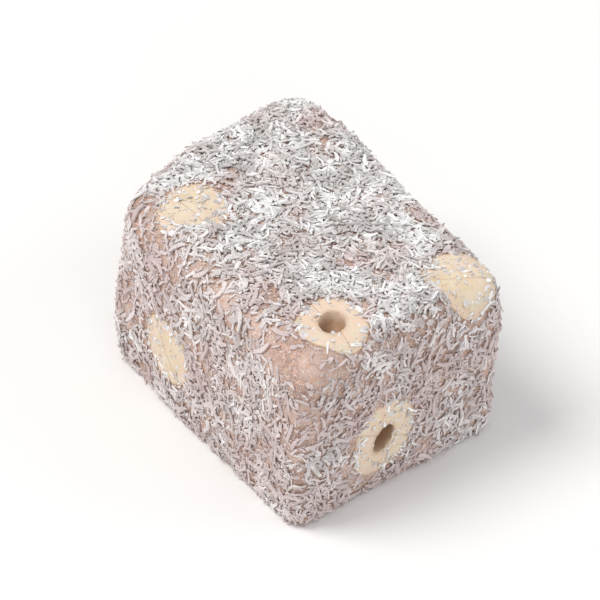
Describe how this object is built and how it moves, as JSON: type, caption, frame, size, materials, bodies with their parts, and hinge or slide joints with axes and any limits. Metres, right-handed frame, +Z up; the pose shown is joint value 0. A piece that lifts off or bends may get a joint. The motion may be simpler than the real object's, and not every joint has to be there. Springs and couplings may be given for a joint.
{
  "type": "cezerye piece",
  "caption": "Hand-cut block of soft carrot paste confection rolled in shredded coconut, with whole hazelnuts sliced flush with its faces.",
  "frame": {"origin": "on the flat underside, at the middle of the block", "axes": "+X across the piece, +Y along its longer side, +Z up out of the top face"},
  "size_m": [0.0369, 0.0532, 0.0264],
  "materials": {
    "carrot_paste": "soft, slightly translucent carrot paste, dusted with coconut",
    "hazelnut": "cut hazelnut flesh, satin",
    "coconut": "dry shredded coconut, matte"
  },
  "bodies": {
    "root": {"paste_block": "carrot_paste", "hazelnut_near": "hazelnut", "hazelnut_left": "hazelnut", "hazelnut_right": "hazelnut", "hazelnut_side": "hazelnut", "hazelnut_front": "hazelnut", "hazelnut_back": "hazelnut", "hazelnut_far": "hazelnut", "hazelnut_under": "hazelnut"}
  },
  "joints": []
}
